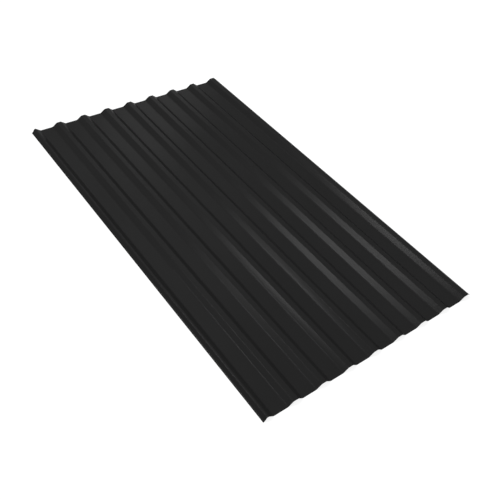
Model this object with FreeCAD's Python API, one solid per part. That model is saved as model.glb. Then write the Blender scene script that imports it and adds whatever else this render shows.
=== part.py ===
import FreeCAD, Part
import math
import os

# Box profile roofing sheet: one piece of coated steel strip, roll-formed into nine low ribs.
# Millimetres. +X runs across the ribs, +Y along them and +Z up. The origin is the middle of the
# sheet's length and width, on the plane that its pans rest on. The ribs at the two long edges
# differ, because neighbouring sheets lap there: the narrow one at -X goes underneath, and the
# wider one at +X goes on top.

# The whole sheet
sheet_length = 2000.0
steel_thickness = 0.5
bend_radius = 6.0            # on the inner side of every bend

# The section that repeats
rib_count = 9
rib_pitch = 138.75           # eight pitches cover 1110 mm of roof
section_height = 19.5        # from the pans' underside to the crowns' top
crown_width = 22.5           # between the two bends of a crown
web_run = 25.0               # how far a web leans out, measured level

# The underlap rib, at -X
underlap_crown_width = 8.0
underlap_leg_run = 10.5      # its outer leg stands steeper than a web
underlap_foot_width = 5.5    # the level foot at the end of that leg

# The overlap rib, at +X
overlap_crown_width = 26.0
overlap_lip_drop = 10.0      # its outer lip has a web's slope and ends short of the pans' level


def section_corners():
    """Corners of the strip's middle line, from the underlap foot to the overlap lip. The first
    rib's middle is at x = 0, and each full rib is symmetrical about its own middle."""
    pan_level = steel_thickness / 2
    crown_level = section_height - steel_thickness / 2
    half_crown = crown_width / 2
    web_foot = half_crown + web_run

    leg_top = half_crown - underlap_crown_width
    leg_foot = leg_top - underlap_leg_run
    corners = [
        (leg_foot - underlap_foot_width, pan_level),
        (leg_foot, pan_level),
        (leg_top, crown_level),
    ]
    for rib in range(rib_count - 1):
        middle = rib * rib_pitch
        next_middle = middle + rib_pitch
        corners += [
            (middle + half_crown, crown_level),
            (middle + web_foot, pan_level),
            (next_middle - web_foot, pan_level),
            (next_middle - half_crown, crown_level),
        ]

    lip_top = corners[-1][0] + overlap_crown_width
    lip_run = overlap_lip_drop * web_run / (crown_level - pan_level)
    corners += [
        (lip_top, crown_level),
        (lip_top + lip_run, crown_level - overlap_lip_drop),
    ]
    return [FreeCAD.Vector(x, 0, z) for x, z in corners]


def direction(start, end):
    return (end - start).normalize()


def upward_normal(start, end):
    """Unit vector square to a run that goes towards +X, on its upper side."""
    along = direction(start, end)
    return FreeCAD.Vector(-along.z, 0, along.x)


def bend_arc(before, corner, after, side):
    """One bend's arc on the upper (side = 1) or lower (side = -1) face of the strip. Both faces'
    arcs share a centre, so the wall keeps its thickness round the bend."""
    incoming = direction(before, corner)
    outgoing = direction(corner, after)
    turn = math.atan2(incoming.x * outgoing.z - incoming.z * outgoing.x, incoming.dot(outgoing))
    inner_side = math.copysign(1, turn)
    middle_radius = bend_radius + steel_thickness / 2
    tangent_length = middle_radius * math.tan(abs(turn) / 2)
    towards_centre = upward_normal(before, corner) * inner_side
    centre = corner - incoming * tangent_length + towards_centre * middle_radius
    radius = middle_radius - inner_side * side * steel_thickness / 2
    spokes = [
        upward_normal(before, corner) * -inner_side,
        direction(centre, corner),
        upward_normal(corner, after) * -inner_side,
    ]
    return [centre + spoke * radius for spoke in spokes]


def strip_face_edges(corners, side):
    """The strip's upper or lower face as flats joined by bends, and the points at its two ends."""
    offset = side * steel_thickness / 2
    first = corners[0] + upward_normal(corners[0], corners[1]) * offset
    last = corners[-1] + upward_normal(corners[-2], corners[-1]) * offset
    edges = []
    start = first
    for before, corner, after in zip(corners, corners[1:], corners[2:]):
        arc_start, arc_middle, arc_end = bend_arc(before, corner, after, side)
        edges.append(Part.LineSegment(start, arc_start).toShape())
        edges.append(Part.Arc(arc_start, arc_middle, arc_end).toShape())
        start = arc_end
    edges.append(Part.LineSegment(start, last).toShape())
    return edges, first, last


def strip_section():
    """The strip's cross-section: its upper and lower faces, closed by the two slit edges."""
    corners = section_corners()
    upper, upper_first, upper_last = strip_face_edges(corners, 1)
    lower, lower_first, lower_last = strip_face_edges(corners, -1)
    slit_edges = [
        Part.LineSegment(upper_first, lower_first).toShape(),
        Part.LineSegment(upper_last, lower_last).toShape(),
    ]
    return Part.Face(Part.Wire(Part.__sortEdges__(upper + lower + slit_edges)))


def roofing_sheet():
    """The section drawn out to the sheet's length and centred over the origin."""
    section = strip_section()
    box = section.BoundBox
    section.translate(FreeCAD.Vector(-(box.XMin + box.XMax) / 2, -sheet_length / 2, 0))
    return section.extrude(FreeCAD.Vector(0, sheet_length, 0))


os.makedirs("parts", exist_ok=True)
roofing_sheet().exportStep("parts/roofing_sheet.step")
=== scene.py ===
import math

import bmesh
import bpy
from mathutils import Matrix, Vector


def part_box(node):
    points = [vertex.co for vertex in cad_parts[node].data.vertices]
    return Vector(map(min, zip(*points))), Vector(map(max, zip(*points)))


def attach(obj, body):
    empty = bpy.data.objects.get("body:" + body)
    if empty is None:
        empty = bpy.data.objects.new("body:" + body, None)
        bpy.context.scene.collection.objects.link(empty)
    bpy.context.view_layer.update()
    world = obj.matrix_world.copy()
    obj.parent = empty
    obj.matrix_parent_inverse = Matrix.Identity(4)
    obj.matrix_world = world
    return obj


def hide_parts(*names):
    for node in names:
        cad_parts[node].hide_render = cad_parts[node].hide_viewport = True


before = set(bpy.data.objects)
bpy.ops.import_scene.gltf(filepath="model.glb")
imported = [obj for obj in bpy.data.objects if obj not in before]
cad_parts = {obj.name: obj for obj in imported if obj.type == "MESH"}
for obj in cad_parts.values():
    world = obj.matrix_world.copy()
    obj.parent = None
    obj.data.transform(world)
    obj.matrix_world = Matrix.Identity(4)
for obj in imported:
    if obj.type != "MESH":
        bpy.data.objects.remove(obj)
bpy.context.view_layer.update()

sheetLow, sheetHigh = [Vector(corner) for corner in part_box("roofing_sheet")]

scene = bpy.context.scene
scene.view_settings.view_transform = "Standard"


# Shader helpers

noiseRange = (0.25, 0.75)        # where nearly all of a noise texture's values lie


def addNode(tree, kind, **inputs):
    node = tree.nodes.new(kind)
    for name, value in inputs.items():
        node.inputs[name.replace("_", " ")].default_value = value
    return node


def combine(tree, operation, *values):
    # One Math node: each value is a number or another node's output
    node = tree.nodes.new("ShaderNodeMath")
    node.operation = operation
    for socket, value in zip(node.inputs, values):
        if isinstance(value, float):
            socket.default_value = value
        else:
            tree.links.new(value, socket)
    return node.outputs[0]


def newMaterial(name):
    material = bpy.data.materials.new(name)
    material.use_nodes = True
    tree = material.node_tree
    tree.nodes.clear()
    output = tree.nodes.new("ShaderNodeOutputMaterial")
    return material, tree, output


def stretchedNoise(tree, coordinates, stretch, detail=2.0, roughness=0.5):
    # Noise whose grain size differs along X, Y and Z: stretch is in waves per metre
    mapping = addNode(tree, "ShaderNodeMapping", Scale=stretch)
    tree.links.new(coordinates, mapping.inputs["Vector"])
    noise = addNode(tree, "ShaderNodeTexNoise", Scale=1.0, Detail=detail, Roughness=roughness)
    tree.links.new(mapping.outputs["Vector"], noise.inputs["Vector"])
    return noise.outputs["Fac"]


def spreadAbout(tree, value, middle, spread):
    # Turns a noise pattern into middle - spread to middle + spread
    remap = tree.nodes.new("ShaderNodeMapRange")
    remap.inputs["From Min"].default_value, remap.inputs["From Max"].default_value = noiseRange
    tree.links.new(value, remap.inputs["Value"])
    for name, sign in (("To Min", -1.0), ("To Max", 1.0)):
        edge = combine(tree, "MULTIPLY_ADD", spread, sign, middle)
        tree.links.new(edge, remap.inputs[name])
    return remap.outputs["Result"]


# The coat's own texture, shared by the top coat and the backing coat (waves per metre)
coatTexture = {
    "grain": (900.0, 900.0, 900.0),      # fine orange peel
    "rollMarks": (260.0, 1.2, 260.0),    # faint streaks left lengthways by the forming rolls
    "clouds": (5.0, 3.0, 5.0),           # slow drift in the coat's thickness
}


def makeCoatGroup():
    group = bpy.data.node_groups.new("coilCoatTexture", "ShaderNodeTree")
    face = group.interface
    for name, kind, value in (
        ("Colour", "NodeSocketColor", (0.01, 0.01, 0.01, 1)),
        ("Mottle", "NodeSocketFloat", 0.05),
        ("Roughness", "NodeSocketFloat", 0.4),
        ("Roughness Spread", "NodeSocketFloat", 0.03),
    ):
        face.new_socket(name, in_out="INPUT", socket_type=kind).default_value = value
    face.new_socket("Colour", in_out="OUTPUT", socket_type="NodeSocketColor")
    face.new_socket("Roughness", in_out="OUTPUT", socket_type="NodeSocketFloat")
    face.new_socket("Height", in_out="OUTPUT", socket_type="NodeSocketFloat")

    given = group.nodes.new("NodeGroupInput").outputs
    result = group.nodes.new("NodeGroupOutput").inputs
    place = group.nodes.new("ShaderNodeTexCoord").outputs["Object"]
    grain = stretchedNoise(group, place, coatTexture["grain"])
    marks = stretchedNoise(group, place, coatTexture["rollMarks"], detail=3.0)
    clouds = stretchedNoise(group, place, coatTexture["clouds"])
    pattern = combine(group, "MULTIPLY", combine(group, "ADD", marks, clouds), 0.5)

    tint = spreadAbout(group, pattern, 1.0, given["Mottle"])
    shade = group.nodes.new("ShaderNodeVectorMath")
    shade.operation = "SCALE"
    group.links.new(given["Colour"], shade.inputs[0])
    group.links.new(tint, shade.inputs["Scale"])
    group.links.new(shade.outputs[0], result["Colour"])

    rough = spreadAbout(group, pattern, given["Roughness"], given["Roughness Spread"])
    group.links.new(rough, result["Roughness"])
    group.links.new(grain, result["Height"])
    return group


coatGroup = makeCoatGroup()


def makeCoatMaterial(name, look):
    material, tree, output = newMaterial(name)
    texture = tree.nodes.new("ShaderNodeGroup")
    texture.node_tree = coatGroup
    texture.inputs["Colour"].default_value = look["colour"]
    texture.inputs["Mottle"].default_value = look["mottle"]
    texture.inputs["Roughness"].default_value = look["roughness"]
    texture.inputs["Roughness Spread"].default_value = look["roughnessSpread"]
    surface = tree.nodes.new("ShaderNodeBsdfPrincipled")
    surface.inputs["Specular IOR Level"].default_value = look["specular"]
    surface.inputs["Metallic"].default_value = look["metalFlake"]
    surface.inputs["Specular Tint"].default_value = look["edgeTint"]
    tree.links.new(texture.outputs["Colour"], surface.inputs["Base Color"])
    tree.links.new(texture.outputs["Roughness"], surface.inputs["Roughness"])
    bump = addNode(
        tree, "ShaderNodeBump", Strength=look["grainStrength"], Distance=look["grainDepth"])
    tree.links.new(texture.outputs["Height"], bump.inputs["Height"])
    tree.links.new(bump.outputs["Normal"], surface.inputs["Normal"])
    tree.links.new(surface.outputs["BSDF"], output.inputs["Surface"])
    return material


def makeCutSteel(look):
    material, tree, output = newMaterial("shearedSteel")
    surface = tree.nodes.new("ShaderNodeBsdfPrincipled")
    surface.inputs["Base Color"].default_value = look["colour"]
    surface.inputs["Metallic"].default_value = 1.0
    place = tree.nodes.new("ShaderNodeTexCoord").outputs["Object"]
    burr = stretchedNoise(tree, place, look["burr"])
    rough = tree.nodes.new("ShaderNodeMapRange")
    rough.inputs["To Min"].default_value = look["roughness"] - look["roughnessSpread"]
    rough.inputs["To Max"].default_value = look["roughness"] + look["roughnessSpread"]
    tree.links.new(burr, rough.inputs["Value"])
    tree.links.new(rough.outputs["Result"], surface.inputs["Roughness"])
    tree.links.new(surface.outputs["BSDF"], output.inputs["Surface"])
    return material


# Roofing sheet: one strip rolled into nine ribs (metres)
sheet = {
    "ribCount": 9,
    "ribPitch": 0.13875,
    "crownWidth": 0.0225,
    "webRun": 0.025,
    "underlapCrown": 0.008,
    "underlapLegRun": 0.0105,
    "underlapFoot": 0.0055,
    "overlapCrown": 0.026,
    "overlapLipDrop": 0.010,
    "thickness": 0.0005,
    "crownBendRadius": 0.006,            # both radii are on the bends' inner sides
    "panBendRadius": 0.012,
    "bendSegments": 8,
    "lengthCuts": 60,
    "webCuts": 7,
    "samePlace": 1e-6,                   # how far apart two matching corners may be
    "weldDistance": 1e-7,
    # Left webs that the rolls left slightly off: how much steeper than the rest, and how much
    # the slope falls from the middle to the top (degrees)
    "unevenWebs": {
        2: {"steeper": 0.8, "bow": 0.0},
        4: {"steeper": -0.3, "bow": 1.6},
        5: {"steeper": 1.6, "bow": -1.5},
        9: {"steeper": 0.0, "bow": -0.8},
    },
    "topCoat": {
        "colour": (0.0203, 0.0203, 0.0203, 1.0),
        "mottle": 0.06,
        "roughness": 0.18,
        "roughnessSpread": 0.01,
        "specular": 0.004,
        "metalFlake": 0.1,
        "edgeTint": (0.58, 0.58, 0.58, 1.0),    # of reflections at a glancing angle
        "grainStrength": 0.05,
        "grainDepth": 0.00002,
    },
    "backCoat": {
        "colour": (0.25, 0.255, 0.26, 1.0),
        "mottle": 0.05,
        "roughness": 0.55,
        "roughnessSpread": 0.04,
        "specular": 0.4,
        "metalFlake": 0.0,
        "edgeTint": (1.0, 1.0, 1.0, 1.0),
        "grainStrength": 0.3,
        "grainDepth": 0.00003,
    },
    "cutSteel": {
        "colour": (0.36, 0.36, 0.37, 1.0),
        "roughness": 0.5,
        "roughnessSpread": 0.15,
        "burr": (700.0, 700.0, 5000.0),
    },
}


def sectionCorners(spec):
    # Corners of the strip's middle line, from the underlap foot at -X to the overlap lip at +X
    panLevel = sheetLow.z + spec["thickness"] / 2
    crownLevel = sheetHigh.z - spec["thickness"] / 2
    halfCrown = spec["crownWidth"] / 2
    webFoot = halfCrown + spec["webRun"]
    legTop = halfCrown - spec["underlapCrown"]
    legFoot = legTop - spec["underlapLegRun"]
    firstMiddle = sheetLow.x + spec["underlapFoot"] - legFoot
    corners = [
        (legFoot - spec["underlapFoot"], panLevel),
        (legFoot, panLevel),
        (legTop, crownLevel),
    ]
    slope = math.atan2(crownLevel - panLevel, spec["webRun"])
    for rib in range(2, spec["ribCount"] + 1):
        middle = (rib - 2) * spec["ribPitch"]
        nextMiddle = middle + spec["ribPitch"]
        uneven = spec["unevenWebs"].get(rib, {"steeper": 0.0})
        run = (crownLevel - panLevel) / math.tan(slope + math.radians(uneven["steeper"]))
        shift = (spec["webRun"] - run) / 2
        corners += [
            (middle + halfCrown, crownLevel),
            (middle + webFoot, panLevel),
            (nextMiddle - webFoot + shift, panLevel),
            (nextMiddle - halfCrown - shift, crownLevel),
        ]
    lipTop = nextMiddle - halfCrown + spec["overlapCrown"]
    lipRun = spec["overlapLipDrop"] * spec["webRun"] / (crownLevel - panLevel)
    corners += [(lipTop, crownLevel), (lipTop + lipRun, crownLevel - spec["overlapLipDrop"])]
    return [Vector((firstMiddle + x, sheetLow.y, z)) for x, z in corners]


def bevelFolds(mesh, corners, spec):
    # Rounds every fold, all the folds of one setback together
    bends = {}
    for before, corner, after in zip(corners, corners[1:], corners[2:]):
        upper = corner.z > sheetHigh.z / 2
        radius = spec["crownBendRadius"] if upper else spec["panBendRadius"]
        turn = (corner - before).angle(after - corner)
        setback = round((radius + spec["thickness"] / 2) * math.tan(turn / 2), 7)
        bends.setdefault(setback, []).append(corner.x)
    for setback, places in bends.items():
        folds = [
            edge for edge in mesh.edges
            if len(edge.link_faces) == 2
            and any(abs(edge.verts[0].co.x - place) < spec["samePlace"] for place in places)
        ]
        bmesh.ops.bevel(mesh, geom=folds, offset=setback, offset_type="OFFSET", affect="EDGES",
                        segments=spec["bendSegments"], profile=0.5, material=-1)


def bowWebs(mesh, corners, spec):
    # Cuts the uneven left webs into strips and bows them about their straight line
    near = spec["samePlace"]
    for rib, uneven in spec["unevenWebs"].items():
        if uneven["bow"] == 0:
            continue
        foot, head = corners[4 * rib - 3], corners[4 * rib - 2]
        along = (head - foot).normalized()
        square = Vector((-along.z, 0, along.x))

        def onWeb(vert):
            return abs((vert.co - foot).dot(square)) < near and foot.x < vert.co.x < head.x

        ends = [
            edge for edge in mesh.edges
            if all(onWeb(vert) for vert in edge.verts)
            and abs(edge.verts[0].co.x - edge.verts[1].co.x) > near
        ]
        low = min(vert.co.x for edge in ends for vert in edge.verts)
        high = max(vert.co.x for edge in ends for vert in edge.verts)
        cut = bmesh.ops.subdivide_edges(mesh, edges=ends, cuts=spec["webCuts"])["geom_inner"]
        width = (high - low) / along.x
        depth = math.tan(math.radians(uneven["bow"])) * width / 4
        for vert in [item for item in cut if isinstance(item, bmesh.types.BMVert)]:
            part = (vert.co.x - low) / (high - low)
            vert.co += square * (4 * depth * part * (1 - part))


def makeSheet(spec):
    # One row of corners, drawn out lengthways, every bend rounded, then given its wall
    mesh = bmesh.new()
    corners = sectionCorners(spec)
    row = [mesh.verts.new(corner) for corner in corners]
    edges = [mesh.edges.new(pair) for pair in zip(row, row[1:])]
    drawn = bmesh.ops.extrude_edge_only(mesh, edges=edges)["geom"]
    farRow = [item for item in drawn if isinstance(item, bmesh.types.BMVert)]
    bmesh.ops.translate(mesh, verts=farRow, vec=(0, sheetHigh.y - sheetLow.y, 0))

    bevelFolds(mesh, corners, spec)
    bowWebs(mesh, corners, spec)
    lengthways = [
        edge for edge in mesh.edges
        if abs(edge.verts[0].co.y - edge.verts[1].co.y) > spec["samePlace"]
    ]
    bmesh.ops.subdivide_edges(
        mesh, edges=lengthways, cuts=spec["lengthCuts"], use_grid_fill=True)
    bmesh.ops.remove_doubles(mesh, verts=mesh.verts, dist=spec["weldDistance"])
    bmesh.ops.recalc_face_normals(mesh, faces=mesh.faces)
    if sum(face.normal.z * face.calc_area() for face in mesh.faces) < 0:
        bmesh.ops.reverse_faces(mesh, faces=mesh.faces)
    for face in mesh.faces:
        face.smooth = True
    for edge in mesh.edges:
        edge.smooth = not edge.is_boundary

    data = bpy.data.meshes.new("roofingSheet")
    mesh.to_mesh(data)
    mesh.free()
    piece = bpy.data.objects.new("roofingSheet", data)
    scene.collection.objects.link(piece)

    for material in (
        makeCoatMaterial("anthraciteTopCoat", spec["topCoat"]),
        makeCoatMaterial("greyBackCoat", spec["backCoat"]),
        makeCutSteel(spec["cutSteel"]),
    ):
        data.materials.append(material)
    wall = piece.modifiers.new("steelWall", "SOLIDIFY")
    wall.thickness = spec["thickness"]
    wall.offset = 0.0
    wall.use_even_offset = True
    wall.material_offset = 1
    wall.material_offset_rim = 2
    # Flats keep their own normals, and only the bends shade as round
    flats = piece.modifiers.new("flatFaces", "WEIGHTED_NORMAL")
    flats.mode = "FACE_AREA"
    flats.keep_sharp = True
    return piece


roofingSheet = makeSheet(sheet)
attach(roofingSheet, "root")
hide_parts("roofing_sheet")
print("sheet:", len(roofingSheet.data.vertices), "vertices before the wall")


# Camera: the photo's view, meant for a frame of 500 by 500, whose size is not set here
photoCamera = {
    "place": (-1.51563, -1.83239, 2.09597),
    "aim": (-0.09751, -0.27074, 0.0),
    "roll": 8.3083,                      # degrees
    "lens": 47.379,                      # mm, both of them
    "sensorWidth": 36.0,
}


def makeCamera(spec):
    data = bpy.data.cameras.new("photoCamera")
    data.lens = spec["lens"]
    data.sensor_width = spec["sensorWidth"]
    camera = bpy.data.objects.new("photoCamera", data)
    scene.collection.objects.link(camera)
    place = Vector(spec["place"])
    turn = (Vector(spec["aim"]) - place).to_track_quat("-Z", "Y").to_matrix().to_4x4()
    roll = Matrix.Rotation(math.radians(spec["roll"]), 4, "Z")
    camera.matrix_world = Matrix.Translation(place) @ turn @ roll
    return camera


scene.camera = makeCamera(photoCamera)
print("camera set")


# Floor, surroundings and lamps
studio = {
    "floorSize": 40.0,
    "floorGap": 0.0001,                  # keeps the floor off the pans' undersides
    "floorColour": (0.25, 0.25, 0.25, 1.0),
    "floorLift": 0.84,                   # light added to the floor where it is seen
    "skyStrength": 0.53,                 # light that the surroundings give
    "skySeen": 1.0,                      # how bright they look
    "lightFromBelow": 0.25,              # share of their light that comes up through the floor
    # Each lamp faces the sheet's middle. Azimuth is degrees from +Y towards +X, lean tips its
    # top towards a higher azimuth, and radiance is W/sr/m2
    "lamps": [
        {"name": "tallStripBox", "azimuth": -49.9, "elevation": 47.3, "distance": 18,
         "size": (2.37, 6.4), "lean": -6.0, "radiance": 10.5},
        {"name": "broadStripBox", "azimuth": -50.7, "elevation": 50.6, "distance": 18.1,
         "size": (4.04, 5.15), "lean": -7.2, "radiance": 11.8},
        {"name": "lowStripBox", "azimuth": 29.15, "elevation": 32.2, "distance": 18,
         "size": (2.32, 3.45), "lean": -43.0, "radiance": 4.6},
        {"name": "wideSoftBox", "azimuth": 17.4, "elevation": 52.3, "distance": 18.2,
         "size": (9.4, 11.9), "lean": -19.3, "radiance": 1.35},
    ],
}


def whenSeen(tree):
    # 1 for rays that show a surface: straight from the camera, reflected or refracted
    path = tree.nodes.new("ShaderNodeLightPath").outputs
    straight = combine(tree, "MAXIMUM", path["Is Camera Ray"], path["Is Glossy Ray"])
    return combine(tree, "MAXIMUM", straight, path["Is Transmission Ray"])


def makeFloor(spec):
    mesh = bmesh.new()
    bmesh.ops.create_grid(mesh, x_segments=1, y_segments=1, size=spec["floorSize"] / 2)
    data = bpy.data.meshes.new("studioFloor")
    mesh.to_mesh(data)
    mesh.free()
    material, tree, output = newMaterial("paleFloor")
    paint = addNode(tree, "ShaderNodeBsdfDiffuse", Color=spec["floorColour"])
    lift = addNode(tree, "ShaderNodeEmission", Color=(1, 1, 1, 1))
    tree.links.new(combine(tree, "MULTIPLY", whenSeen(tree), spec["floorLift"]),
                   lift.inputs["Strength"])
    both = tree.nodes.new("ShaderNodeAddShader")
    tree.links.new(paint.outputs[0], both.inputs[0])
    tree.links.new(lift.outputs[0], both.inputs[1])

    # Clear from below, and it lets part of the surroundings' light up through it, so that the
    # sheet's underside can be seen
    path = tree.nodes.new("ShaderNodeLightPath").outputs
    fromBelow = tree.nodes.new("ShaderNodeNewGeometry").outputs["Backfacing"]
    lights = combine(tree, "MAXIMUM", path["Is Shadow Ray"], path["Is Diffuse Ray"])
    share = tree.nodes.new("ShaderNodeMapRange")
    share.inputs["To Min"].default_value = 1.0
    share.inputs["To Max"].default_value = spec["lightFromBelow"]
    tree.links.new(lights, share.inputs["Value"])
    clear = tree.nodes.new("ShaderNodeBsdfTransparent")
    tree.links.new(share.outputs["Result"], clear.inputs["Color"])
    oneSided = tree.nodes.new("ShaderNodeMixShader")
    tree.links.new(combine(tree, "MAXIMUM", lights, fromBelow), oneSided.inputs["Fac"])
    tree.links.new(both.outputs[0], oneSided.inputs[1])
    tree.links.new(clear.outputs[0], oneSided.inputs[2])
    tree.links.new(oneSided.outputs[0], output.inputs["Surface"])
    data.materials.append(material)

    floor = bpy.data.objects.new("studioFloor", data)
    floor.location.z = sheetLow.z - spec["floorGap"]
    scene.collection.objects.link(floor)


def makeSurroundings(spec):
    world = bpy.data.worlds.new("paleSurroundings")
    scene.world = world
    world.use_nodes = True
    tree = world.node_tree
    tree.nodes.clear()
    output = tree.nodes.new("ShaderNodeOutputWorld")
    background = addNode(tree, "ShaderNodeBackground", Color=(1, 1, 1, 1))
    strength = tree.nodes.new("ShaderNodeMapRange")
    strength.inputs["To Min"].default_value = spec["skyStrength"]
    strength.inputs["To Max"].default_value = spec["skySeen"]
    tree.links.new(whenSeen(tree), strength.inputs["Value"])
    tree.links.new(strength.outputs["Result"], background.inputs["Strength"])
    tree.links.new(background.outputs[0], output.inputs["Surface"])


def makeLamp(spec):
    data = bpy.data.lights.new(spec["name"], "AREA")
    data.shape = "RECTANGLE"
    data.size, data.size_y = spec["size"]
    data.energy = spec["radiance"] * math.pi * data.size * data.size_y
    lamp = bpy.data.objects.new(spec["name"], data)
    scene.collection.objects.link(lamp)
    azimuth, elevation = math.radians(spec["azimuth"]), math.radians(spec["elevation"])
    towards = Vector((
        math.sin(azimuth) * math.cos(elevation),
        math.cos(azimuth) * math.cos(elevation),
        math.sin(elevation),
    ))
    turn = (-towards).to_track_quat("-Z", "Y").to_matrix().to_4x4()
    lean = Matrix.Rotation(math.radians(spec["lean"]), 4, "Z")
    lamp.matrix_world = Matrix.Translation(towards * spec["distance"]) @ turn @ lean


makeFloor(studio)
makeSurroundings(studio)
for lampSpec in studio["lamps"]:
    makeLamp(lampSpec)
print("studio set")
